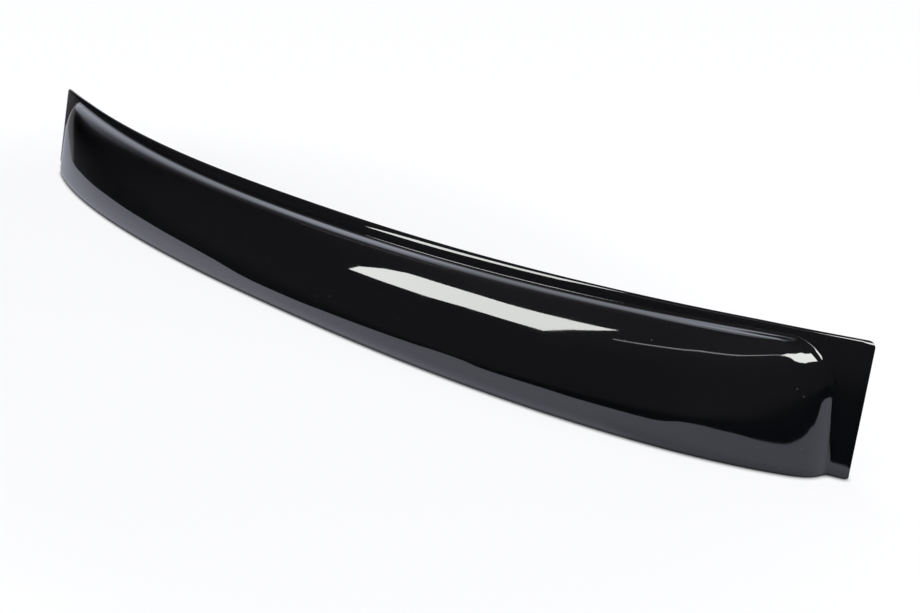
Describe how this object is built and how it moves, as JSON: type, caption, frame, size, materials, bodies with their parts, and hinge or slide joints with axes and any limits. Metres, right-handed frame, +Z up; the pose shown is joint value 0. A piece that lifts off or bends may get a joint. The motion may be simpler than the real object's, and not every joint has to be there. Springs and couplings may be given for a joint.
{
  "type": "tailgate spoiler",
  "caption": "Long bowed tailgate spoiler formed in one piece from sheet: a swelling hood below a stepped top flange, flat end flanges for bonding and a turned-in lower lip.",
  "frame": {"origin": "middle of the part's box in X and Y, on the surface that the lower edge stands on", "axes": "+X along the length, +Y from the outer face towards the glass, +Z up as the part stands on its lower edge"},
  "size_m": [1.3264, 0.1466, 0.1244],
  "materials": {
    "gloss_shell": "polished, high gloss"
  },
  "bodies": {
    "root": {"spoiler_shell": "gloss_shell"}
  },
  "joints": []
}
